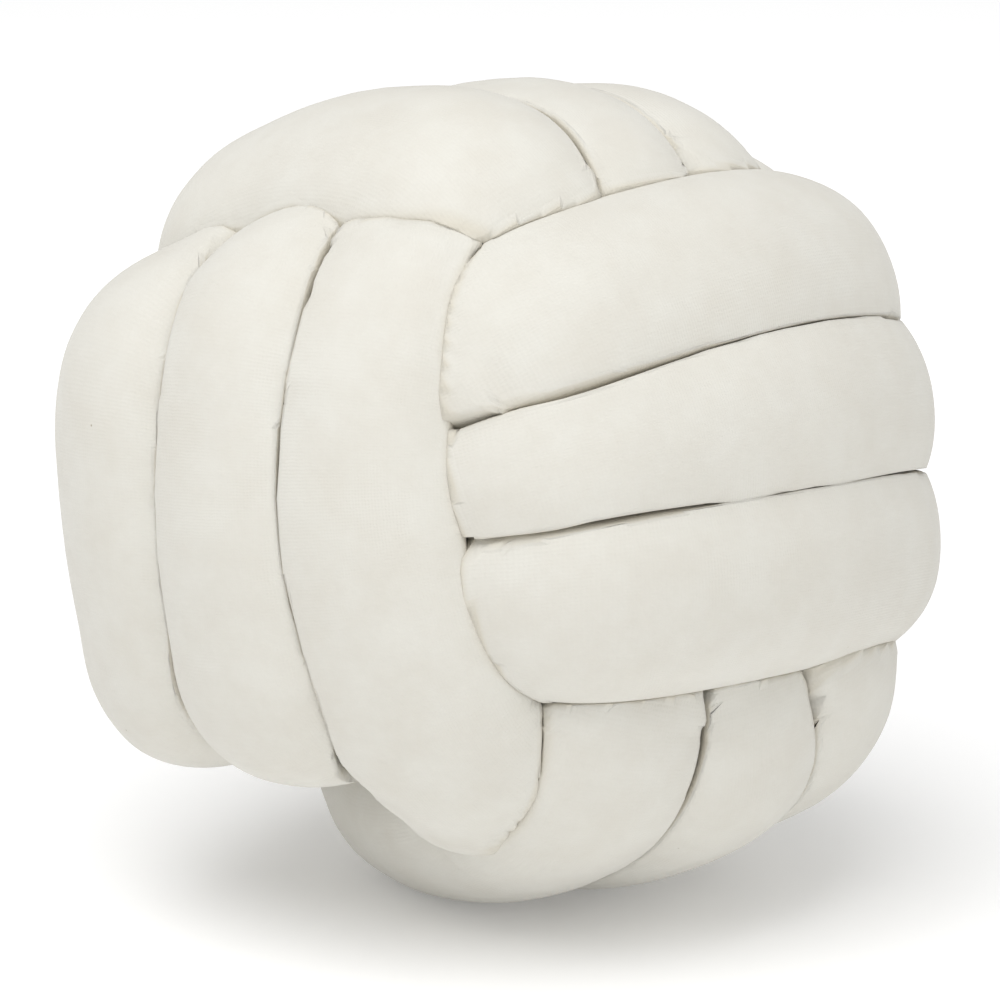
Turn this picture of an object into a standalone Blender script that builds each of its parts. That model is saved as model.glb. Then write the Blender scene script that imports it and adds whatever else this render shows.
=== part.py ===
"""Knot cushion: one long stuffed fleece tube wound as a three-band monkey's fist.

Metres, +Z up. The ball rests on z = 0 on a small flat, with its middle above the origin.
"""
from collections import namedtuple
from math import cos, pi, radians, sin

import bmesh
import bpy
import numpy as np
from mathutils import Matrix
from mathutils.bvhtree import BVHTree

# ---- driving sizes (metres, degrees) ----
TURN_RADIUS = 0.122          # centre line of a turn where it shows
TUCK_RADIUS = 0.0675         # centre line of a turn where it passes under another band
TUBE_HEIGHT = 0.0285         # crest above the centre line
TUBE_WIDTH = 0.042           # free half width of the tube
CORE_TUBE = 0.030            # free half width of the tube inside the ball
TURN_GAP = 0.0016            # clear gap between neighbouring turns
FLAT_DEPTH = 0.0045          # how far the weight of the ball flattens its underside
FACING = 45.0                # side that the knot leans about, in degrees from -Y toward +X
LEAN = 14.0                  # how far it leans left, seen from that side
TIP = 10.0                   # how far it tips back, seen from that side
END_TAPER = (0.5, 0.85)      # width of the tube at its two buried ends
SIDES = 16                   # corners of one section of the tube
FINENESS = 1                 # sections of the tube for each step its stations ask for
SITE_FINENESS = 5            # the same, where neighbouring turns are measured
TURNS = 3                    # turns of the tube in each band
STRIDE_POWER = 0.75          # how the centre line's pace follows the distance between spots
OWN_LENGTH = 0.020           # length of the same turn that never counts as a neighbour
WIDEN = 0.05                 # how strongly a plumper turn pushes its neighbours back
MOST_RADIUS = 0.080          # most that the skin may stand from the centre line
LIMIT_SHARE = 0.99           # share of the room up to the neighbours that the skin fills
EASE_ROUNDS = 6              # rounds of easing of the tube's skin over its creases
FRAME_ROUNDS = 4             # rounds of easing of the tube's outward side
CORE_ROOM = 0.02             # how gently the outward side turns over near the middle
PARTING_ROUNDS = 40          # most rounds of drawing touching facets apart
PARTING_STEP = 0.97          # share of its radius that a touching corner keeps each round
CLEARANCE = 0.0003           # least gap, each side, that the facets of two turns keep
CREAM = (0.82, 0.79, 0.73, 1.0)

# Slant of each turn across its face, in degrees from the middle of the band: at the low
# side of the face, at its middle and at its high side. Then how far it stands out from
# the others and how much plumper it is (mm), and how far along the face each end of it
# reaches before it tucks in, as a share of the usual reach.
Turn = namedtuple("Turn", "low mid high lift plump low_end high_end")
FACES = {
    # faces that the first band covers, its turns stacked upward
    "+X": (Turn(-17, -24, -26, 0, 2, 1.00, 1.04),
           Turn(3, 2, -1, 1, -2, 1.00, 1.07),
           Turn(20, 26, 21, 2, 2, 1.00, 1.13)),
    "-X": (Turn(-14, -21, -22, -3, -2, 0.80, 1.00),
           Turn(1, 0, -1, 0, 0, 1.00, 1.00),
           Turn(23, 24, 22, 0, 0, 1.00, 1.00)),
    # faces that the second band covers, its turns stacked toward +X
    "+Y": (Turn(-23, -24, -22, 0, 0, 1.00, 1.00),
           Turn(0, 1, 0, 0, 0, 1.00, 1.00),
           Turn(20, 21, 20, 0, 0, 1.00, 0.94)),
    "-Y": (Turn(-37, -29, -15, 10, 5, 0.53, 0.90),
           Turn(-6, 0, 10, 2, 0, 0.62, 0.94),
           Turn(21, 27, 33, 0, 4, 1.10, 0.97)),
    # faces that the third band covers, its turns stacked toward +Y
    "+Z": (Turn(-20, -21, -21, 0, 7, 0.66, 1.00),
           Turn(6, 6, -2, -5, -3, 0.95, 1.00),
           Turn(25, 25, 18, -5, 0, 1.00, 1.00)),
    "-Z": (Turn(-2, -20, -29, -1, 4, 0.85, 0.94),
           Turn(6, 5, -5, 3, 0, 0.90, 0.94),
           Turn(26, 25, 17, 6, 0, 1.00, 1.04)),
}

# Stations of the centre line over one face: angle along the turn, reach from the ball's
# middle as a share of TURN_RADIUS, how far the tube shows, how far it keeps its slant, and
# sections up to the next station. Both signs of the angle are used.
Station = namedtuple("Station", "angle reach shown slant steps")
STATIONS = (
    Station(0, 0.97, 1.0, 1.0, 2),
    Station(20, 0.985, 1.0, 1.0, 2),
    Station(38, 1.00, 1.0, 1.0, 1),
    Station(48, 0.91, 0.0, 0.8, 1),
    Station(60, 0.70, 0.0, 0.2, 2),
)
SLANT_SPAN = 45.0            # angle at which a turn has its low or high slant
SLANT_END = 48.0             # angle past which its slant no longer changes
EVEN_SLANT = 23.0            # slant of the outer turns where they are tucked in
END_START = (0.020, 0.050)   # where a loose end leaves its turn: outward and along
CORE_DIP = 0.025             # how near the ball's middle a loose end runs
CORE_HEIGHT = 0.85           # share of its turn's height that it keeps there
CORE_CROSSING = (-0.024, -0.004, 0.006)   # where the tube crosses the core to the next band

Band = namedtuple("Band", "outward along stack")
BANDS = (Band(0, 1, 2), Band(1, 2, 0), Band(2, 0, 1))
AXES = "XYZ"
Spot = namedtuple("Spot", "point shown plump steps")


def placed(band, outward, along, stack):
    """Point with the given parts along the band's own three axes."""
    point = np.zeros(3)
    point[band.outward] = outward
    point[band.along] = along
    point[band.stack] = stack
    return point


def slant_at(turn, angle):
    """Slant of a turn, in degrees, at an angle along its face."""
    share = max(-SLANT_END, min(SLANT_END, angle)) / SLANT_SPAN
    bend = (turn.low + turn.high) / 2.0 - turn.mid
    return turn.mid + (turn.high - turn.low) / 2.0 * share + bend * share * share


def face_spots(band, side, number):
    """Spots of one turn over one face, from where it comes out to where it tucks in."""
    turn = FACES[("+" if side > 0 else "-") + AXES[band.outward]][number]
    before = [s._replace(angle=-s.angle, steps=t.steps)
              for s, t in zip(STATIONS[:0:-1], STATIONS[-2::-1])]
    spots = []
    for station in before + list(STATIONS):
        angle = station.angle * (turn.high_end if station.angle * side > 0 else turn.low_end)
        level = (number - 1) * EVEN_SLANT
        level += (slant_at(turn, angle * side) - level) * station.slant
        radius = station.reach * TURN_RADIUS + station.shown * turn.lift / 1000.0
        slant, around = radians(level), radians(angle)
        point = placed(band, side * radius * cos(slant) * cos(around),
                       side * radius * cos(slant) * sin(around), radius * sin(slant))
        spots.append(Spot(point, station.shown, turn.plump / 1000.0, station.steps))
    return spots


def tucked_spot(band, side, before, after):
    """Middle of a tucked pass, between the two spots that it joins."""
    height = (before.point[band.stack] + after.point[band.stack]) / 2.0
    return Spot(placed(band, 0.0, side * TUCK_RADIUS, height), 0.0, 0.0, STATIONS[-1].steps)


def loose_spots(band, side, neighbour):
    """Spots that lead between the core and a band's first or last turn."""
    height = neighbour.point[band.stack]
    near = placed(band, -side * END_START[0], -END_START[1], height)
    far = placed(band, 0.0, -CORE_DIP, height * CORE_HEIGHT)
    if side < 0:
        return [Spot(far, 0.0, 0.0, 2), Spot(near, 0.0, 0.0, 2)]
    middle = placed(band, *CORE_CROSSING)
    return [Spot(near, 0.0, 0.0, 2), Spot(far, 0.0, 0.0, 2), Spot(middle, 0.0, 0.0, 2)]


def tube_spots():
    """Every spot of the tube's centre line, from its buried start to its buried end."""
    spots = []
    for band in BANDS:
        for number in range(TURNS):
            front = face_spots(band, 1.0, number)
            back = face_spots(band, -1.0, number)
            if number == 0:
                spots += loose_spots(band, -1.0, front[0])
            else:
                spots.append(tucked_spot(band, -1.0, spots[-1], front[0]))
            spots += front
            spots.append(tucked_spot(band, 1.0, front[-1], back[0]))
            spots += back
        spots += loose_spots(band, 1.0, back[-1])
    return spots


def spline(knots, values):
    """Second derivatives of the natural cubic through the values at the knots."""
    count = len(knots)
    step = np.diff(knots)
    matrix = np.eye(count)
    right = np.zeros_like(values)
    slope = np.diff(values, axis=0) / step[:, None]
    for i in range(1, count - 1):
        matrix[i, i - 1] = step[i - 1]
        matrix[i, i] = 2.0 * (step[i - 1] + step[i])
        matrix[i, i + 1] = step[i]
        right[i] = 6.0 * (slope[i] - slope[i - 1])
    return np.linalg.solve(matrix, right)


def sample(knots, values, second, at):
    """The cubic's value at each parameter."""
    i = np.clip(np.searchsorted(knots, at) - 1, 0, len(knots) - 2)
    step = knots[i + 1] - knots[i]
    after = ((at - knots[i]) / step)[:, None]
    before = 1.0 - after
    step = step[:, None]
    bend = (before ** 3 - before) * second[i] + (after ** 3 - after) * second[i + 1]
    return before * values[i] + after * values[i + 1] + bend * step * step / 6.0


def centre_line(fineness):
    """Sampled centre line: points, tangents, share shown and plumpness of each section."""
    spots = tube_spots()
    points = np.array([s.point for s in spots])
    strides = np.linalg.norm(np.diff(points, axis=0), axis=1) ** STRIDE_POWER
    knots = np.concatenate([[0.0], np.cumsum(strides)])
    second = spline(knots, points)
    at = []
    for spot, knot, following in zip(spots, knots, knots[1:]):
        steps = spot.steps * fineness
        at += [knot + (following - knot) * j / steps for j in range(steps)]
    at = np.array(at + [knots[-1]])
    line = sample(knots, points, second, at)
    reach = 1e-4 * knots[-1]
    ahead = sample(knots, points, second, np.minimum(at + reach, knots[-1]))
    behind = sample(knots, points, second, np.maximum(at - reach, 0.0))
    tangents = ahead - behind
    tangents /= np.linalg.norm(tangents, axis=1)[:, None]
    shown = np.interp(at, knots, [s.shown for s in spots])
    plump = np.interp(at, knots, [s.plump for s in spots])
    return line, tangents, shown, plump


def outward_frames(line, tangents):
    """Unit vectors across the tube: away from the ball's middle, and sideways."""
    outward = line / (np.linalg.norm(line, axis=1)[:, None] + CORE_ROOM)
    for _ in range(FRAME_ROUNDS):
        outward[1:-1] = (outward[:-2] + outward[1:-1] * 2.0 + outward[2:]) / 4.0
        outward -= tangents * (outward * tangents).sum(1)[:, None]
        outward /= np.linalg.norm(outward, axis=1)[:, None]
    return outward, np.cross(tangents, outward)


def skin_radii(line, tangents, outward, sideways, shown, plump, sides, gap):
    """Distance of the skin from the centre line, for each section and each side."""
    angles = np.arange(sides) * 2.0 * pi / sides
    sites, _, _, site_plump = centre_line(SITE_FINENESS)
    high = CORE_TUBE + (TUBE_HEIGHT - CORE_TUBE) * shown + plump / 2.0
    wide = CORE_TUBE + (TUBE_WIDTH - CORE_TUBE) * shown + plump
    limit = np.empty((len(line), sides))
    free = np.empty((len(line), sides))
    for i in range(len(line)):
        rays = np.cos(angles)[:, None] * outward[i] + np.sin(angles)[:, None] * sideways[i]
        away = sites - line[i]
        square = (away * away).sum(1)
        square += np.where(square > OWN_LENGTH ** 2, (plump[i] - site_plump) * WIDEN, 0.0)
        along = rays @ away.T
        near = np.where(along > 1e-6, square / (2.0 * np.maximum(along, 1e-6)), MOST_RADIUS)
        limit[i] = np.minimum(near.min(axis=1), MOST_RADIUS) * LIMIT_SHARE - gap / 2.0
        free[i] = 1.0 / np.sqrt((np.cos(angles) / high[i]) ** 2 + (np.sin(angles) / wide[i]) ** 2)
    radii = np.minimum(free, limit)
    for _ in range(EASE_ROUNDS):
        across = (np.roll(radii, 1, axis=1) + np.roll(radii, -1, axis=1)) / 2.0
        lengthwise = radii.copy()
        lengthwise[1:-1] = (radii[:-2] + radii[2:]) / 2.0
        eased = radii * 0.5 + across * 0.25 + lengthwise * 0.25
        radii = np.minimum(limit, eased)
    for i, share in enumerate(END_TAPER):
        radii[i] *= share
        radii[-1 - i] *= share
    return radii


def skin_points(line, outward, sideways, radii):
    """Corners of every section at the given distances from the centre line."""
    angles = np.arange(radii.shape[1]) * 2.0 * pi / radii.shape[1]
    return (line[:, None, :]
            + (radii * np.cos(angles))[:, :, None] * outward[:, None, :]
            + (radii * np.sin(angles))[:, :, None] * sideways[:, None, :])


def skin_triangles(rings, sides):
    """Corner numbers of the skin's triangles, two for each side of each section."""
    triangles = []
    for i in range(rings - 1):
        for j in range(sides):
            a, b = i * sides + j, i * sides + (j + 1) % sides
            triangles += [(a, b, b + sides), (a, b + sides, a + sides)]
    return triangles


def part_turns(line, outward, sideways, radii):
    """Draw the skin in, a little at a time, wherever facets of two turns still touch."""
    rings, sides = radii.shape
    triangles = skin_triangles(rings, sides)
    for _ in range(PARTING_ROUNDS):
        grown = skin_points(line, outward, sideways, radii + CLEARANCE).reshape(-1, 3)
        tree = BVHTree.FromPolygons(grown.tolist(), triangles)
        touching = set()
        for a, b in tree.overlap(tree):
            if abs(triangles[a][0] // sides - triangles[b][0] // sides) > 2:
                touching.update(triangles[a])
                touching.update(triangles[b])
        if not touching:
            break
        numbers = np.array(sorted(touching))
        radii[numbers // sides, numbers % sides] *= PARTING_STEP
    print("touching corners left", len(touching))
    return radii


def lie(points):
    """Lean and tip the knot as it lies, then press its underside flat on z = 0."""
    face_on = Matrix.Rotation(radians(FACING), 3, "Z")
    lean = Matrix.Rotation(radians(-LEAN), 3, "Y")
    tip = Matrix.Rotation(radians(-TIP), 3, "X")
    points = points @ np.array(face_on @ tip @ lean @ face_on.inverted()).T
    ground = points[:, 2].min() + FLAT_DEPTH
    points[:, 2] = np.maximum(points[:, 2], ground) - ground
    middle = (points[:, :2].min(axis=0) + points[:, :2].max(axis=0)) / 2.0
    points[:, :2] -= middle
    return points


def make_tube(name, fineness, sides):
    line, tangents, shown, plump = centre_line(fineness)
    outward, sideways = outward_frames(line, tangents)
    radii = skin_radii(line, tangents, outward, sideways, shown, plump, sides, TURN_GAP)
    radii = part_turns(line, outward, sideways, radii)
    skin = lie(skin_points(line, outward, sideways, radii).reshape(-1, 3))
    bm = bmesh.new()
    corners = [bm.verts.new(point) for point in skin]
    for triangle in skin_triangles(len(line), sides):
        bm.faces.new([corners[number] for number in triangle])
    ends = [bm.faces.new(corners[sides - 1::-1]), bm.faces.new(corners[-sides:])]
    bmesh.ops.triangulate(bm, faces=ends)
    bmesh.ops.recalc_face_normals(bm, faces=bm.faces[:])
    mesh = bpy.data.meshes.new(name)
    bm.to_mesh(mesh)
    bm.free()
    for face in mesh.polygons:
        face.use_smooth = True
    tube = bpy.data.objects.new(name, mesh)
    bpy.context.scene.collection.objects.link(tube)
    return tube


def fleece():
    material = bpy.data.materials.new("cream_fleece")
    material.use_nodes = True
    shader = material.node_tree.nodes["Principled BSDF"]
    shader.inputs["Base Color"].default_value = CREAM
    shader.inputs["Roughness"].default_value = 0.95
    shader.inputs["Metallic"].default_value = 0.0
    return material


for old in list(bpy.data.objects):
    bpy.data.objects.remove(old, do_unlink=True)
tube = make_tube("stuffed_tube", FINENESS, SIDES)
tube.data.materials.append(fleece())
print("triangles", len(tube.data.polygons), "size", [round(v * 1000, 1) for v in tube.dimensions])
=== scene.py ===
import math
from collections import namedtuple

import bmesh
import bpy
import numpy as np
from mathutils import Matrix, Vector, noise
from mathutils.bvhtree import BVHTree


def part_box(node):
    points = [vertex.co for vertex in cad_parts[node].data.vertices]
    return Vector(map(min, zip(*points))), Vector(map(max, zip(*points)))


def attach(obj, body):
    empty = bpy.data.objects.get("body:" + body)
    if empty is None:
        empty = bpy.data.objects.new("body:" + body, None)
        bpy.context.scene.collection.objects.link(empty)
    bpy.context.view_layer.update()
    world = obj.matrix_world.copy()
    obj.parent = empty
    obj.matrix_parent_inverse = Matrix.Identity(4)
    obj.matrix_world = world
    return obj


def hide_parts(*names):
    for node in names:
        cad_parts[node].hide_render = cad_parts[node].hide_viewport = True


# Knot cushion: one long tube of brushed cotton fleece, stuffed and wound into a ball as a
# three-band knot. Metres, +Z up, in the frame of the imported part.
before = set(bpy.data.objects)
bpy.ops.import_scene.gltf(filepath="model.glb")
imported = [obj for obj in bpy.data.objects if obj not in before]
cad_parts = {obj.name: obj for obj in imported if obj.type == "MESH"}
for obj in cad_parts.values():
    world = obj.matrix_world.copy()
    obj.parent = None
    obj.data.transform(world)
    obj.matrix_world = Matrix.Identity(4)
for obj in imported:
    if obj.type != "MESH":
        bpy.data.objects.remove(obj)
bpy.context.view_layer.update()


# ---- the knot: how the tube runs ----
knot = {
    "turnRadius": 0.122,            # centre line of a turn where it shows, from the middle
    "tuckRadius": 0.0675,           # centre line where it passes under another band
    "turns": 3,                     # turns in each band
    "coreRadius": 0.030,            # the tube's radius inside the ball
    "evenSlant": 23.0,              # slant of the outer turns where they are tucked in
    "slantSpan": 45.0,              # angle at which a turn has its low or high slant
    "slantEnd": 48.0,               # angle past which its slant no longer changes
    "stridePower": 0.75,            # how the pace follows the distance between spots
    "nudge": 1e-4,                  # share of the tube over which its heading is taken
    "endStart": (0.020, 0.050),     # where a loose end leaves its turn: outward and along
    "coreDip": 0.025,               # how near the middle a loose end runs
    "coreHeight": 0.85,             # share of its turn's height that it keeps there
    "coreCrossing": (-0.024, -0.004, 0.006),     # where it passes the middle to the next band
    "looseSteps": 6,                # sections from one spot of a loose end to the next
    "facing": 45.0,                 # side that the knot leans about, degrees
    "lean": 14.0,
    "tip": 10.0,
    "flatDepth": 0.0045,            # how far its weight flattens the underside
}

# Each turn on each face: slant at the low side, middle and high side of the face (degrees),
# how far it stands out and how much plumper it is (mm), how far its two ends reach, and how wide
# it swells below and above its middle (mm), which is less where no turn lies beside it.
Turn = namedtuple("Turn", "low mid high lift plump lowEnd highEnd below above")
faces = {
    "+X": (Turn(-17, -24, -26, 0, 3, 1.00, 1.04, 32, 42),
           Turn(3, 2, -1, 1, -2, 1.00, 1.07, 42, 42),
           Turn(20, 26, 21, 2, 2, 1.00, 1.13, 42, 33)),
    "-X": (Turn(-14, -21, -22, -3, -2, 0.80, 1.00, 36, 42),
           Turn(1, 0, -1, 0, 0, 1.00, 1.00, 42, 42),
           Turn(23, 24, 22, 0, 0, 1.00, 1.00, 42, 36)),
    "+Y": (Turn(-23, -24, -22, 0, 0, 1.00, 1.00, 36, 42),
           Turn(0, 1, 0, 0, 0, 1.00, 1.00, 42, 42),
           Turn(20, 21, 20, 0, 0, 1.00, 0.94, 42, 36)),
    "-Y": (Turn(-37, -28, -15, 10, 5, 0.51, 0.90, 42, 42),
           Turn(-6, 1, 10, 2, 0, 0.60, 0.94, 42, 42),
           Turn(21, 27, 33, 0, 3, 1.10, 0.97, 42, 33)),
    "+Z": (Turn(-20, -22, -24, 0, 7, 0.66, 0.94, 40, 36),
           Turn(6, 5, -4, -5, -2, 0.95, 1.00, 42, 42),
           Turn(25, 25, 18, -5, 0, 1.00, 1.00, 42, 36)),
    "-Z": (Turn(-2, -20, -29, -1, 4, 0.85, 0.94, 36, 42),
           Turn(6, 5, -5, 3, 0, 0.90, 0.94, 42, 42),
           Turn(26, 25, 17, 6, 0, 1.00, 1.04, 42, 36)),
}

# Stations over half a face: angle along the turn, reach as a share of turnRadius, how far
# the tube shows, how broad it stays, extra height of its crest (mm), how far it keeps its slant,
# and steps up to the next station, finest where a turn dips under the next band.
Station = namedtuple("Station", "angle reach shown broad fill slant steps")
stations = (
    Station(0, 0.97, 1.0, 1.0, 0.0, 1.0, 4),
    Station(20, 0.985, 1.0, 1.0, 0.0, 1.0, 18),
    Station(38, 1.00, 1.0, 1.1, 1.0, 1.0, 14),
    Station(48, 0.91, 0.0, 1.2, 3.0, 0.8, 4),
    Station(60, 0.70, 0.0, 0.3, 0.0, 0.2, 3),
)
Band = namedtuple("Band", "outward along stack")
bands = (Band(0, 1, 2), Band(1, 2, 0), Band(2, 0, 1))
Spot = namedtuple("Spot", "point shown broad fill leftWide rightWide plump steps")


def inBand(band, outward, along, stack):
    point = np.zeros(3)
    point[band.outward] = outward
    point[band.along] = along
    point[band.stack] = stack
    return point


def metres(millimetres):
    return millimetres / 1000.0


def slantAt(turn, angle):
    share = max(-knot["slantEnd"], min(knot["slantEnd"], angle)) / knot["slantSpan"]
    bend = (turn.low + turn.high) / 2.0 - turn.mid
    return turn.mid + (turn.high - turn.low) / 2.0 * share + bend * share * share


def faceSpots(band, side, number):
    turn = faces[("+" if side > 0 else "-") + "XYZ"[band.outward]][number]
    before = [s._replace(angle=-s.angle, steps=t.steps)
              for s, t in zip(stations[:0:-1], stations[-2::-1])]
    spots = []
    for station in before + list(stations):
        angle = station.angle * (turn.highEnd if station.angle * side > 0 else turn.lowEnd)
        level = (number - 1) * knot["evenSlant"]
        level += (slantAt(turn, angle * side) - level) * station.slant
        radius = station.reach * knot["turnRadius"] + metres(station.shown * turn.lift)
        slant, around = math.radians(level), math.radians(angle)
        point = inBand(band, side * radius * math.cos(slant) * math.cos(around),
                       side * radius * math.cos(slant) * math.sin(around),
                       radius * math.sin(slant))
        spots.append(Spot(point, station.shown, station.broad, metres(station.fill),
                          metres(turn.above), metres(turn.below), metres(turn.plump),
                          station.steps))
    return spots


def hiddenSpot(point, steps):
    core = knot["coreRadius"]
    return Spot(point, 0.0, 0.0, 0.0, core, core, 0.0, steps)


def tuckedSpot(band, side, before, after):
    height = (before.point[band.stack] + after.point[band.stack]) / 2.0
    return hiddenSpot(inBand(band, 0.0, side * knot["tuckRadius"], height), stations[-1].steps)


def looseSpots(band, side, neighbour):
    height = neighbour.point[band.stack]
    near = inBand(band, -side * knot["endStart"][0], -knot["endStart"][1], height)
    far = inBand(band, 0.0, -knot["coreDip"], height * knot["coreHeight"])
    middle = inBand(band, *knot["coreCrossing"])
    places = (far, near) if side < 0 else (near, far, middle)
    return [hiddenSpot(place, knot["looseSteps"]) for place in places]


def tubeSpots():
    spots = []
    for band in bands:
        for number in range(knot["turns"]):
            front = faceSpots(band, 1.0, number)
            back = faceSpots(band, -1.0, number)
            if number == 0:
                spots += looseSpots(band, -1.0, front[0])
            else:
                spots.append(tuckedSpot(band, -1.0, spots[-1], front[0]))
            spots += front
            spots.append(tuckedSpot(band, 1.0, front[-1], back[0]))
            spots += back
        spots += looseSpots(band, 1.0, back[-1])
    return spots


def naturalCubic(knots, values):
    count = len(knots)
    step = np.diff(knots)
    matrix = np.eye(count)
    right = np.zeros_like(values)
    slope = np.diff(values, axis=0) / step[:, None]
    for i in range(1, count - 1):
        matrix[i, i - 1] = step[i - 1]
        matrix[i, i] = 2.0 * (step[i - 1] + step[i])
        matrix[i, i + 1] = step[i]
        right[i] = 6.0 * (slope[i] - slope[i - 1])
    bend = np.linalg.solve(matrix, right)

    def curve(at):
        i = np.clip(np.searchsorted(knots, at) - 1, 0, count - 2)
        width = (knots[i + 1] - knots[i])[:, None]
        after = (at - knots[i])[:, None] / width
        before = 1.0 - after
        pull = (before ** 3 - before) * bend[i] + (after ** 3 - after) * bend[i + 1]
        return before * values[i] + after * values[i + 1] + pull * width * width / 6.0
    return curve


Path = namedtuple("Path", "line tangents shown broad fill leftWide rightWide plump along")


def centreLine():
    spots = tubeSpots()
    points = np.array([s.point for s in spots])
    strides = np.linalg.norm(np.diff(points, axis=0), axis=1) ** knot["stridePower"]
    knots = np.concatenate([[0.0], np.cumsum(strides)])
    curve = naturalCubic(knots, points)
    at = []
    for spot, start, end in zip(spots, knots, knots[1:]):
        at += [start + (end - start) * j / spot.steps for j in range(spot.steps)]
    at = np.array(at + [knots[-1]])
    line = curve(at)
    nudge = knot["nudge"] * knots[-1]
    tangents = curve(np.minimum(at + nudge, knots[-1])) - curve(np.maximum(at - nudge, 0.0))
    tangents /= np.linalg.norm(tangents, axis=1)[:, None]
    along = np.concatenate([[0.0], np.cumsum(np.linalg.norm(np.diff(line, axis=0), axis=1))])
    eased = [np.interp(at, knots, [getattr(spot, name) for spot in spots])
             for name in ("shown", "broad", "fill", "leftWide", "rightWide", "plump")]
    return Path(line, tangents, *eased, along)


# ---- the stuffed tube: how its skin fills out against the turns beside it ----
tubeSkin = {
    "crownColumns": 14,             # columns from the crest to each crease
    "foldColumns": (0.12, 0.06, 0.025),     # columns on both sides of a crease, radians from it
    "hiddenColumns": 8,             # and from there round to the seam inside
    "edgeColumns": 3,               # hidden columns beside a crease that still join its ends
    "crestHeight": 0.0285,          # crest above the centre line
    "gap": 0.00016,                 # clear gap between neighbouring turns where they meet
    "hiddenGap": 0.0008,            # and further in, where nothing shows
    "pressedDepth": 0.006,          # depth at which the skin counts as well inside
    "yieldArea": 0.0002,            # how far a turn that dips under gives way, square metres
    "cornerRange": (28.0, 120.0),   # angles from the crest between which a crease may lie
    "cornerReach": 0.006,           # length over which a crease evens out along its turn
    "cornerSteps": 30,              # angles tried in the search for a crease
    "cornerWindow": (0.09, 5),      # and close to it: half the span in radians, angles tried
    "ownLength": 0.080,             # length of the same turn that never counts as a neighbour
    "leastRadius": 0.006,           # a neighbour is looked for from here along each ray
    "mostRadius": 0.065,            # up to here
    "meetingRounds": 4,             # rounds of working out where two turns press together
    "softness": 0.003,              # how softly the skin turns in at a crease
    "softFrom": 2.0 / 3.0,          # share of the crown from which it does
    "coreRoom": 0.02,               # how gently the outward side turns over near the middle
    "frameReach": 0.012,            # length over which the sections turn evenly
    "frameRounds": 2,
    "tautReach": 0.012,             # how far tension evens the skin lengthwise
    "tautRounds": 3,
    "roundEnd": 0.022,              # length over which each end of the tube rounds off
    "endShare": 0.05,               # squared size of its last section
    "crossing": 0.6,                # likeness of sideways directions under which turns cross
    "crowding": 0.003,              # depth in the turn alongside past which a corner stays put
    "shownRounds": 9,               # rounds of looking for corners that do show
    "endRows": 3,                   # sections on each side of an end that count as part of it
    "meetingSteps": 5,              # steps on the way to the line where two skins meet
    "meetingShare": 0.1,            # least share of the way that each of them covers
    "partingRounds": 6,             # rounds of drawing in facets that touch
    "partingStep": 0.994,           # and by how much each time
    "partedRows": 4,                # sections of the same turn that may share a corner
    "clearance": 0.00002,           # how near counts as touching
    "creaseDepth": 0.010,           # gap to the next turn at which a crease fades out
    "ahead": 1e-6,                  # a section no further along a ray than this isn't in its way
    "weld": 1e-6,                   # corners this close become one
    "tiny": 1e-9,                   # keeps divisions by areas away from nought
    "tiniest": 1e-12,               # and by lengths
}
# slow unevenness of the filling and finer softness of the cloth: size and height, metres
lumps = ((0.060, 0.0009), (0.024, 0.0004), (0.011, 0.00012))
Skin = namedtuple("Skin", "path outward sideways high left right")


def evening(along, reach):
    # one step of evening out along the tube, for sections that aren't evenly spaced
    step = np.diff(along)
    matrix = np.eye(len(along))
    for i in range(1, len(along) - 1):
        span = (step[i - 1] + step[i]) / 2.0
        low = reach ** 2 / (step[i - 1] * span)
        high = reach ** 2 / (step[i] * span)
        matrix[i, i - 1] -= low
        matrix[i, i] += low + high
        matrix[i, i + 1] -= high
    return np.linalg.inv(matrix)


def tubeSections(path):
    # the outward side of each section, and its height and half width if nothing pressed on it
    outward = path.line / (np.linalg.norm(path.line, axis=1)[:, None] + tubeSkin["coreRoom"])
    even = evening(path.along, tubeSkin["frameReach"])
    heading = even @ path.tangents
    heading /= np.linalg.norm(heading, axis=1)[:, None]
    for _ in range(tubeSkin["frameRounds"]):
        outward = even @ outward
        outward -= heading * (outward * heading).sum(1)[:, None]
        outward /= np.linalg.norm(outward, axis=1)[:, None]
    core = knot["coreRadius"]
    high = core + (tubeSkin["crestHeight"] - core) * path.broad + path.plump / 2.0 + path.fill
    left, right = (core + (wide - core) * path.broad + path.plump
                   for wide in (path.leftWide, path.rightWide))
    return Skin(path, outward, np.cross(heading, outward), high, left, right)


def raysAt(skin, angles):
    return (np.cos(angles)[:, :, None] * skin.outward[:, None, :]
            + np.sin(angles)[:, :, None] * skin.sideways[:, None, :])


def freeAt(skin, angles):
    # size of the section along each ray if nothing pressed on it
    wide = np.where(angles < 0.0, skin.left[:, None], skin.right[:, None])
    return 1.0 / np.sqrt((np.cos(angles) / skin.high[:, None]) ** 2 + (np.sin(angles) / wide) ** 2)


def sizeSquared(outPart, sidePart, high, left, right):
    # the same for a direction given by its two parts, squared
    wide = np.where(sidePart < 0.0, left, right)
    return (outPart ** 2 + sidePart ** 2) / (
        (outPart / high) ** 2 + (sidePart / wide) ** 2 + tubeSkin["tiny"])


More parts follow.
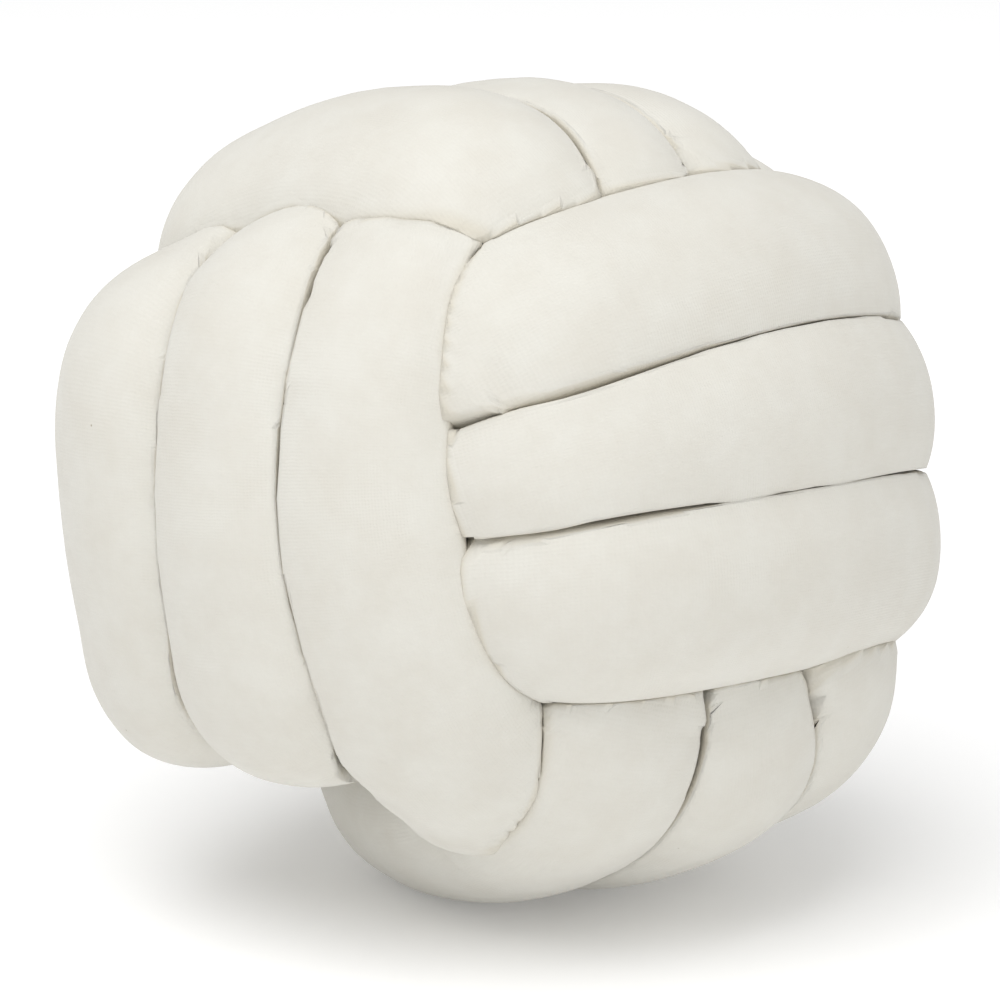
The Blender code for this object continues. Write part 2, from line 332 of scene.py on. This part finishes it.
def roomAt(skin, angles):
    # distance along each ray to the first neighbour: its free skin, or where both press together
    path = skin.path
    rays = raysAt(skin, angles)
    least, most = tubeSkin["leastRadius"], tubeSkin["mostRadius"]
    yielding = tubeSkin["yieldArea"] * (1.0 - path.shown)
    own = freeAt(skin, angles) ** 2 - yielding[:, None]
    room = np.empty(angles.shape)
    for i in range(len(path.line)):
        away = path.line - path.line[i]
        square = (away * away).sum(1)
        apart = np.abs(path.along - path.along[i]) > tubeSkin["ownLength"]
        nearby = np.flatnonzero(apart & (square < (2.0 * most) ** 2))
        away, square = away[nearby], square[nearby]
        high, left, right = skin.high[nearby], skin.left[nearby], skin.right[nearby]
        awayOut = (away * skin.outward[nearby]).sum(1)
        awaySide = (away * skin.sideways[nearby]).sum(1)
        rayOut = rays[i] @ skin.outward[nearby].T
        raySide = rays[i] @ skin.sideways[nearby].T
        along = rays[i] @ away.T
        ahead = along > tubeSkin["ahead"]
        along = np.maximum(along, tubeSkin["ahead"])
        reach = np.full((len(along), 1), tubeSkin["crestHeight"])
        for _ in range(tubeSkin["meetingRounds"]):
            outPart, sidePart = reach * rayOut - awayOut, reach * raySide - awaySide
            theirs = sizeSquared(outPart, sidePart, high, left, right)
            pressed = (square + own[i][:, None] - theirs + yielding[nearby]) / (2.0 * along)
            inside = along ** 2 - square + theirs
            skinHit = np.where(inside > 0.0, along - np.sqrt(np.maximum(inside, 0.0)), most)
            meeting = np.where(ahead, np.maximum(pressed, skinHit), most).min(axis=1)
            reach = np.clip(meeting, least, most)[:, None]
        room[i] = reach[:, 0]
    return room - tubeSkin["gap"] / 2.0


def firstMeeting(skin, angles):
    # angle, from the first column outward, at which the free section meets its neighbour
    short = freeAt(skin, angles) - roomAt(skin, angles)
    meets = short > 0.0
    k = np.where(meets.any(axis=1), meets.argmax(axis=1), angles.shape[1] - 1)
    rows = np.arange(len(k))
    before, after = short[rows, np.maximum(k - 1, 0)], short[rows, k]
    crossing = meets.any(axis=1) & (k > 0)
    share = np.where(crossing, -before / np.where(crossing, after - before, 1.0), 1.0)
    start, end = angles[rows, np.maximum(k - 1, 0)], angles[rows, k]
    return start + (end - start) * share, crossing


def creaseCorners(skin, side):
    low, high = np.radians(tubeSkin["cornerRange"])
    count = len(skin.path.line)
    coarse = np.tile(np.linspace(0.0, high, tubeSkin["cornerSteps"]), (count, 1)) * side
    corner = np.clip(np.abs(firstMeeting(skin, coarse)[0]), low, high)
    corner = evening(skin.path.along, tubeSkin["cornerReach"]) @ corner
    reach, steps = tubeSkin["cornerWindow"]
    window = np.linspace(-reach, reach, steps)
    exact, found = firstMeeting(skin, (corner[:, None] + window) * side)
    return np.where(found, np.clip(np.abs(exact), low, high), corner)


def sectionAngles(skin):
    # columns from the seam inside, over the crown and back, with a tight fold at each crease
    crown = np.arange(1, tubeSkin["crownColumns"]) / tubeSkin["crownColumns"]
    hidden = np.arange(1, tubeSkin["hiddenColumns"] + 1) / tubeSkin["hiddenColumns"]
    fold = np.array(tubeSkin["foldColumns"])
    halves = []
    for side in (-1.0, 1.0):
        corner = creaseCorners(skin, side)[:, None]
        above, under = corner - fold[0], corner + fold[0]
        halves.append(np.hstack([above * crown, corner - fold, corner, corner + fold[::-1],
                                 under + (math.pi - under) * hidden]) * side)
    crest = np.zeros((len(skin.path.line), 1))
    return np.hstack([halves[0][:, ::-1], crest, halves[1]])


def skinRadii(skin, angles, room):
    # distance of the skin along each ray, and the same if nothing pressed on it
    along, rays = skin.path.along, raysAt(skin, angles)
    taut = evening(along, tubeSkin["tautReach"])
    radii = np.minimum(freeAt(skin, angles), room)
    for _ in range(tubeSkin["tautRounds"]):
        radii = np.minimum(room, taut @ radii)
    free = np.maximum(taut @ freeAt(skin, angles), radii)
    surface = skin.path.line[:, None, :] + np.minimum(free, room)[:, :, None] * rays
    middle, crown = angles.shape[1] // 2, tubeSkin["crownColumns"]
    for i in range(len(angles)):
        for j in range(middle - crown, middle + crown + 1):
            fade = 1.0 - ((j - middle) / crown) ** 2
            spot = Vector(surface[i, j])
            free[i, j] += fade * sum(height * noise.noise(spot / size) for size, height in lumps)
    pressed = np.clip((free - room) / tubeSkin["pressedDepth"], 0.0, 1.0)
    room = room - tubeSkin["hiddenGap"] * pressed ** 2
    blend = np.clip(1.0 - np.abs(free - room) / tubeSkin["softness"], 0.0, 1.0)
    fromCrest = np.abs(np.arange(angles.shape[1]) - middle) / crown
    blend *= np.clip((fromCrest - tubeSkin["softFrom"]) / (1.0 - tubeSkin["softFrom"]), 0.0, 1.0)
    radii = np.minimum(free, room) - blend ** 2 * tubeSkin["softness"] / 4.0
    fromEnd = np.clip(np.minimum(along, along[-1] - along) / tubeSkin["roundEnd"], 0.0, 1.0)
    least = tubeSkin["endShare"]
    radii *= np.sqrt(least + (1.0 - least) * (1.0 - (1.0 - fromEnd) ** 2))[:, None]
    return radii, free


def partTurns(skin, angles, radii):
    # where facets of two turns still touch, both are drawn in a little
    rings, columns = radii.shape
    rays = raysAt(skin, angles)
    firsts = [i * columns + j for i in range(rings - 1) for j in range(columns - 1)]
    quads = [(k, k + 1, k + columns + 1, k + columns) for k in firsts]
    for _ in range(tubeSkin["partingRounds"]):
        grown = skin.path.line[:, None, :] + (radii + tubeSkin["clearance"])[:, :, None] * rays
        tree = BVHTree.FromPolygons(grown.reshape(-1, 3).tolist(), quads)
        touching = set()
        for a, b in tree.overlap(tree):
            if abs(quads[a][0] // columns - quads[b][0] // columns) > tubeSkin["partedRows"]:
                touching.update(quads[a])
                touching.update(quads[b])
        print("  corners touching", len(touching))
        if not touching:
            break
        numbers = np.array(sorted(touching))
        radii[numbers // columns, numbers % columns] *= tubeSkin["partingStep"]
    radii[:, -1] = radii[:, 0] = np.minimum(radii[:, 0], radii[:, -1])
    return radii


def depthInside(skin, other, place):
    # how deep a point lies in the nearest other turn; negative outside
    away = place - skin.path.line[other]
    outPart = (away * skin.outward[other]).sum(1)
    sidePart = (away * skin.sideways[other]).sum(1)
    size = sizeSquared(outPart, sidePart, skin.high[other], skin.left[other], skin.right[other])
    return (np.sqrt(size) - np.sqrt((away ** 2).sum(1))).max() + tubeSkin["gap"] / 2.0


def besideShown(under, columns):
    # corners under another turn with a shown corner next to them
    beside = np.zeros(under.shape, bool)
    beside[1:] |= ~under[:-1]
    beside[:-1] |= ~under[1:]
    beside[:, 1:] |= ~under[:, :-1]
    beside[:, :-1] |= ~under[:, 1:]
    beside &= under
    beside[0] = beside[-1] = False
    return [(int(i), int(j)) for i, j in np.argwhere(beside) if j in columns]


def skinsMeet(skin, other, shown, shownDepth, hidden, hiddenDepth):
    # the last point outside the other turns on the way from a shown corner to a hidden one
    least = tubeSkin["meetingShare"]
    for _ in range(tubeSkin["meetingSteps"]):
        between = shownDepth - hiddenDepth - tubeSkin["tiniest"]
        share = np.clip(shownDepth / between, least, 1.0 - least)
        place = shown + (hidden - shown) * share
        depth = depthInside(skin, other, place)
        if depth > 0.0:
            hidden, hiddenDepth = place, depth
        else:
            shown, shownDepth = place, depth
    return shown


def meetSkins(skin, angles, room, free, surface):
    # where a turn dips under another, its last corners move to the line where the two skins meet
    along, middle = skin.path.along, angles.shape[1] // 2
    joined = (tubeSkin["crownColumns"] + 2 * len(tubeSkin["foldColumns"])
              + tubeSkin["edgeColumns"])
    columns = range(middle - joined, middle + joined + 1)
    under = free > room
    free = skin.path.line[:, None, :] + free[:, :, None] * raysAt(skin, angles)
    apart = np.abs(along[:, None] - along) > tubeSkin["ownLength"]
    alike = np.abs(skin.sideways @ skin.sideways.T)
    across = [np.flatnonzero(row) for row in apart & (alike < tubeSkin["crossing"])]
    beside = [np.flatnonzero(row) for row in apart & (alike >= tubeSkin["crossing"])]

    # corners that count as hidden but stand clear of every crossing turn do show
    inner, crowded, pressed = {}, {}, set()
    for _ in range(tubeSkin["shownRounds"]):
        for place in besideShown(under, columns):
            if place not in inner:
                inner[place] = depthInside(skin, across[place[0]], free[place])
                crowded[place] = depthInside(skin, beside[place[0]], free[place])
            if inner[place] < 0.0 and crowded[place] < tubeSkin["crowding"]:
                under[place] = False
                if crowded[place] > tubeSkin["gap"]:
                    pressed.add(place)
    ends = [place for place in besideShown(under, columns)
            if inner.get(place, 1.0) > 0.0 and crowded.get(place, 0.0) < tubeSkin["crowding"]]
    near = range(-tubeSkin["endRows"], tubeSkin["endRows"] + 1)
    rows = {i + shift for i, j in ends for shift in near}
    for place in inner:
        if place[0] in rows and not under[place] and place not in pressed:
            surface[place] = free[place]

    moved = {}
    ends = ([(place, across) for place in ends]
            + [(place, beside) for place in sorted(pressed) if place[0] in rows])
    for (i, j), turns in ends:
        nearest = tubeSkin["mostRadius"]
        hiddenDepth = depthInside(skin, turns[i], free[i, j])
        if hiddenDepth < 0.0:
            continue
        for k in ((i - 1, j), (i + 1, j), (i, j - 1), (i, j + 1)):
            shownDepth = depthInside(skin, turns[i], surface[k])
            if under[k] or k in pressed or shownDepth > 0.0:
                continue
            place = skinsMeet(skin, turns[i], surface[k], shownDepth, free[i, j], hiddenDepth)
            distance = np.linalg.norm(place - free[i, j])
            if distance < nearest:
                nearest = distance
                moved[i, j] = place
    meeting = np.zeros(under.shape, bool)
    for place, point in moved.items():
        surface[place] = point
        meeting[place] = True
    print("  corners on meeting lines", len(moved), "of", len(ends))
    return meeting


def splitAlongMeeting(bm, places, meeting):
    # a face crossed by a meeting line is cut from corner to corner along it
    for face in bm.faces[:]:
        corners = list(face.verts)
        marks = [meeting[places[vert]] for vert in corners]
        if marks[0] and marks[2] and not (marks[1] and marks[3]):
            bmesh.utils.face_split(face, corners[0], corners[2])
        elif marks[1] and marks[3] and not (marks[0] and marks[2]):
            bmesh.utils.face_split(face, corners[1], corners[3])


def lie(points):
    # lean and tip the knot as it lies, then press its underside flat on the floor
    faceOn = Matrix.Rotation(math.radians(knot["facing"]), 3, "Z")
    lean = Matrix.Rotation(math.radians(-knot["lean"]), 3, "Y")
    tip = Matrix.Rotation(math.radians(-knot["tip"]), 3, "X")
    points = points @ np.array(faceOn @ tip @ lean @ faceOn.inverted()).T
    ground = points[:, 2].min() + knot["flatDepth"]
    points[:, 2] = np.maximum(points[:, 2], ground) - ground
    return points


def middleOf(box):
    return np.array([(box[0][k] + box[1][k]) / 2.0 for k in range(2)])


def gridPlace(co, rings, columns):
    return round((co.y + 1.0) / 2.0 * (rings - 1)), round((co.x + 1.0) / 2.0 * (columns - 1))


def sewnSheet(surface, cloth, crease, meeting):
    # a flat sheet of cloth, one row for each section, rolled round and closed along its length
    rings, columns = meeting.shape
    bm = bmesh.new()
    uv = bm.loops.layers.uv.new("cloth")
    bmesh.ops.create_grid(bm, x_segments=columns - 1, y_segments=rings - 1, size=1.0)
    nearness = bm.verts.layers.float.new("crease")
    places = {vert: gridPlace(vert.co, rings, columns) for vert in bm.verts}
    for face in bm.faces:
        face.smooth = True
        for loop in face.loops:
            loop[uv].uv = cloth[places[loop.vert]]
    for vert, place in places.items():
        vert.co = surface[place]
        vert[nearness] = crease[place]
    splitAlongMeeting(bm, places, meeting)
    bmesh.ops.remove_doubles(bm, verts=bm.verts[:], dist=tubeSkin["weld"])
    rims = [edge for edge in bm.edges if edge.is_boundary]
    ends = bmesh.ops.holes_fill(bm, edges=rims, sides=0)["faces"]
    bmesh.ops.poke(bm, faces=ends)
    bmesh.ops.recalc_face_normals(bm, faces=bm.faces[:])
    print("  open edges", sum(edge.is_boundary for edge in bm.edges))
    return bm


def rolledTube(name):
    path = centreLine()
    skin = tubeSections(path)
    angles = sectionAngles(skin)
    room = roomAt(skin, angles)
    radii, free = skinRadii(skin, angles, room)
    radii = partTurns(skin, angles, radii)
    surface = path.line[:, None, :] + radii[:, :, None] * raysAt(skin, angles)
    meeting = meetSkins(skin, angles, room, free, surface)
    surface = lie(surface.reshape(-1, 3))
    made = (surface.min(axis=0), surface.max(axis=0))
    surface[:, :2] += middleOf(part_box("stuffed_tube")) - middleOf(made)
    surface = surface.reshape(*angles.shape, 3)
    lengthwise = np.tile(path.along[:, None], angles.shape[1])
    cloth = np.dstack([angles * tubeSkin["crestHeight"], lengthwise])
    crease = np.clip(1.0 - (room - radii) / tubeSkin["creaseDepth"], 0.0, 1.0)
    mesh = bpy.data.meshes.new(name)
    bm = sewnSheet(surface, cloth, crease, meeting)
    bm.to_mesh(mesh)
    bm.free()
    tube = bpy.data.objects.new(name, mesh)
    bpy.context.scene.collection.objects.link(tube)
    print(name, "triangles", sum(len(face.vertices) - 2 for face in mesh.polygons),
          "cloth length", round(float(path.along[-1]), 2), "m")
    return tube


# ---- materials ----
def linear(hexColour):
    # a screen colour as the linear one that shaders take
    channels = [int(hexColour[i:i + 2], 16) / 255.0 for i in (1, 3, 5)]
    return [c / 12.92 if c <= 0.04045 else ((c + 0.055) / 1.055) ** 2.4 for c in channels] + [1.0]


def addNode(tree, kind, inputs=None, **settings):
    made = tree.nodes.new(kind)
    for name, value in settings.items():
        setattr(made, name, value)
    for name, value in (inputs or {}).items():
        if isinstance(value, bpy.types.NodeSocket):
            tree.links.new(value, made.inputs[name])
        else:
            made.inputs[name].default_value = value
    return made


def newMaterial(name):
    material = bpy.data.materials.new(name)
    material.use_nodes = True
    return material, material.node_tree, material.node_tree.nodes["Principled BSDF"]


# Brushed cotton fleece: a fine knit with its face raised into a short dense nap. It looks
# matt and soft, with the knit only just showing through and a pale glow at grazing angles.
fleece = {
    "colour": "#D6D4CC",
    "shade": "#D2CFC6",             # where the nap lies the other way
    "fold": "#CDC8BB",              # painted shade deep in a crease, darker and warmer
    "lint": "#A39A88",
    "wale": 0.0010,                 # rib spacing, drawn coarser than such a knit's to show
    "course": 0.0009,
    "fibre": 0.0008,
    "mottle": 0.020,
    "napTurn": (0.35, 0.65),        # part of the mottle over which the nap turns its way
    "creaseShadePower": 3.0,               # how late the painted crease shade sets in
    "knitShadow": 0.992,            # tone of the knit's hollows
    "knitShare": 0.35,              # height of the knit beside that of the nap
    "napDepth": 0.00009,
    "pucker": (0.030, 0.0055),      # length across the crease and spacing along it
    "puckerDepth": 0.0012,
    "lintSpacing": 0.0215,
    "lintSize": 0.0005,
}

# dull, with some light glancing off the ends of its fibres
fleeceFinish = {
    "Roughness": 0.92,
    "IOR": 1.50,
    "Specular IOR Level": 0.25,
    "Sheen Weight": 0.20,
    "Sheen Roughness": 0.45,
}


def bandScale(spacing):
    # scale at which a wave texture's bands lie this far apart; at scale 1 it is pi / 10
    return math.pi / 10.0 / spacing


def brushedFleece():
    material, tree, shader = newMaterial("brushedCottonFleece")
    cloth = addNode(tree, "ShaderNodeUVMap", uv_map="cloth").outputs["UV"]
    place = addNode(tree, "ShaderNodeTexCoord").outputs["Object"]
    crease = addNode(tree, "ShaderNodeAttribute", attribute_name="crease").outputs["Fac"]

    # the knit: ribs along the tube and courses round it, each broken up by the raised nap
    wales = addNode(tree, "ShaderNodeTexWave", {
        "Vector": cloth, "Scale": bandScale(fleece["wale"]), "Distortion": 2.5,
        "Detail": 2.0, "Detail Scale": 1.6}, bands_direction="X")
    courses = addNode(tree, "ShaderNodeTexWave", {
        "Vector": cloth, "Scale": bandScale(fleece["course"]), "Distortion": 3.0,
        "Detail": 2.0, "Detail Scale": 1.2}, bands_direction="Y")
    knit = addNode(tree, "ShaderNodeMath", {
        0: wales.outputs["Fac"], 1: courses.outputs["Fac"]}, operation="ADD")
    fibres = addNode(tree, "ShaderNodeTexNoise", {
        "Vector": place, "Scale": 1.0 / fleece["fibre"], "Detail": 3.0, "Roughness": 0.65})
    mottle = addNode(tree, "ShaderNodeTexNoise", {
        "Vector": place, "Scale": 1.0 / fleece["mottle"], "Detail": 5.0, "Roughness": 0.6})

    # colour: nap lying one way or the other, shadows of the knit, painted shade deep in the
    # creases, a little lint
    napWay = addNode(tree, "ShaderNodeMapRange", {
        "Value": mottle.outputs["Fac"],
        "From Min": fleece["napTurn"][0], "From Max": fleece["napTurn"][1]})
    nap = addNode(tree, "ShaderNodeMix", {
        0: napWay.outputs["Result"], 6: linear(fleece["colour"]), 7: linear(fleece["shade"])},
        data_type="RGBA")
    # painted shade: the cloth turns darker and warmer towards the bottom of each crease
    deep = addNode(tree, "ShaderNodeMath", {
        0: crease, 1: fleece["creaseShadePower"]}, operation="POWER")
    creaseShaded = addNode(tree, "ShaderNodeMix", {
        0: deep.outputs["Value"], 6: nap.outputs[2], 7: linear(fleece["fold"])}, data_type="RGBA")
    knitTone = addNode(tree, "ShaderNodeMapRange", {
        "Value": knit.outputs["Value"], "From Max": 2.0, "To Min": fleece["knitShadow"]})
    toned = addNode(tree, "ShaderNodeMix", {
        0: 1.0, 6: creaseShaded.outputs[2], 7: knitTone.outputs["Result"]},
        data_type="RGBA", blend_type="MULTIPLY")
    specks = addNode(tree, "ShaderNodeTexVoronoi", {
        "Vector": place, "Scale": 1.0 / fleece["lintSpacing"]})
    lintShare = fleece["lintSize"] / fleece["lintSpacing"]
    lint = addNode(tree, "ShaderNodeMapRange", {
        "Value": specks.outputs["Distance"], "From Min": lintShare, "From Max": lintShare / 2.0})
    coloured = addNode(tree, "ShaderNodeMix", {
        0: lint.outputs["Result"], 6: toned.outputs[2], 7: linear(fleece["lint"])},
        data_type="RGBA")
    tree.links.new(coloured.outputs[2], shader.inputs["Base Color"])

    # relief: small puckers where the cloth is drawn into a crease, then knit and nap
    stretched = addNode(tree, "ShaderNodeMapping", {
        "Vector": cloth, "Scale": (1.0 / fleece["pucker"][0], 1.0 / fleece["pucker"][1], 1.0)})
    puckers = addNode(tree, "ShaderNodeTexNoise", {
        "Vector": stretched.outputs["Vector"], "Scale": 1.0, "Detail": 2.0, "Roughness": 0.5})
    drawn = addNode(tree, "ShaderNodeMath", {
        0: puckers.outputs["Fac"], 1: crease}, operation="MULTIPLY")
    puckered = addNode(tree, "ShaderNodeBump", {
        "Strength": 1.0, "Distance": fleece["puckerDepth"], "Height": drawn.outputs["Value"]})
    surface = addNode(tree, "ShaderNodeMath", {
        0: knit.outputs["Value"], 1: fleece["knitShare"], 2: fibres.outputs["Fac"]},
        operation="MULTIPLY_ADD")
    napped = addNode(tree, "ShaderNodeBump", {
        "Strength": 1.0, "Distance": fleece["napDepth"], "Height": surface.outputs["Value"],
        "Normal": puckered.outputs["Normal"]})
    tree.links.new(napped.outputs["Normal"], shader.inputs["Normal"])
    for name, value in fleeceFinish.items():
        shader.inputs[name].default_value = value
    return material


# Matt white paper sweep that glows as painted light, more away from the cushion than near it, so
# it looks even and pale with only a soft shadow on it.
paperFinish = {
    "Base Color": linear("#FBFBFB"),
    "Roughness": 0.9,
    "Specular IOR Level": 0.1,
    # the paper glows white as painted light, its strength set by distance from the cushion
    "Emission Color": linear("#FFFFFF"),
}


def glowingPaperSweep():
    material, tree, shader = newMaterial("glowingMattWhitePaper")
    for name, value in paperFinish.items():
        shader.inputs[name].default_value = value
    place = addNode(tree, "ShaderNodeTexCoord").outputs["Object"]
    away = addNode(tree, "ShaderNodeVectorMath", {0: place}, operation="LENGTH")
    # painted light: weaker glow close to the cushion, stronger further off
    glow = addNode(tree, "ShaderNodeMapRange", {
        "Value": away.outputs["Value"], "From Min": studio["glowStart"],
        "From Max": studio["glowFull"], "To Min": studio["nearGlow"],
        "To Max": studio["floorGlow"]},
        interpolation_type="SMOOTHSTEP")
    tree.links.new(glow.outputs["Result"], shader.inputs["Emission Strength"])
    return material


print("winding and filling the tube")
cushion = rolledTube("fleece_tube")
cushion.data.materials.append(brushedFleece())
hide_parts("stuffed_tube")
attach(cushion, "root")


# ---- the studio ----
studio = {
    "floorSize": 40.0,
    "floorGlow": 0.50,              # painted light: glow of the paper itself, away from the cushion
    "nearGlow": 0.125,              # and close to it
    "glowStart": 0.35,
    "glowFull": 1.6,
    "skyLight": 0.47,
    "target": (0.0, 0.0, 0.146),
    "azimuth": 45.6,
    "elevation": 11.9,
    "distance": 1.2,
    "lens": 122.2,
    "shift": (-0.0076, -0.0147),
}
# soft lamps: azimuth, elevation, distance, size, watts
lamps = {
    "bigSoftbox": (18.0, 66.0, 2.4, 2.4, 52.0),
    "frontFill": (85.0, 22.0, 2.6, 2.2, 9.0),
}


def directionTo(azimuth, elevation):
    a, e = math.radians(azimuth), math.radians(elevation)
    return Vector((math.sin(a) * math.cos(e), -math.cos(a) * math.cos(e), math.sin(e)))


def aimed(name, data, azimuth, elevation, distance):
    holder = bpy.data.objects.new(name, data)
    bpy.context.scene.collection.objects.link(holder)
    direction = directionTo(azimuth, elevation)
    holder.location = Vector(studio["target"]) + direction * distance
    holder.rotation_euler = (-direction).to_track_quat("-Z", "Y").to_euler()
    return holder


def buildStudio():
    bm = bmesh.new()
    bmesh.ops.create_grid(bm, x_segments=1, y_segments=1, size=studio["floorSize"] / 2.0)
    mesh = bpy.data.meshes.new("floor")
    bm.to_mesh(mesh)
    bm.free()
    floor = bpy.data.objects.new("floor", mesh)
    bpy.context.scene.collection.objects.link(floor)
    mesh.materials.append(glowingPaperSweep())
    for name, (azimuth, elevation, distance, size, watts) in lamps.items():
        lamp = bpy.data.lights.new(name, "AREA")
        lamp.size = size
        lamp.energy = watts
        aimed(name, lamp, azimuth, elevation, distance)
    world = bpy.data.worlds.new("studio")
    bpy.context.scene.world = world
    world.use_nodes = True
    sky = world.node_tree.nodes["Background"]
    sky.inputs["Color"].default_value = (1.0, 1.0, 1.0, 1.0)
    sky.inputs["Strength"].default_value = studio["skyLight"]
    lens = bpy.data.cameras.new("camera")
    lens.lens = studio["lens"]
    lens.shift_x, lens.shift_y = studio["shift"]
    camera = aimed("camera", lens, studio["azimuth"], studio["elevation"], studio["distance"])
    bpy.context.scene.camera = camera
    bpy.context.scene.view_settings.view_transform = "Standard"


print("setting the studio")
buildStudio()
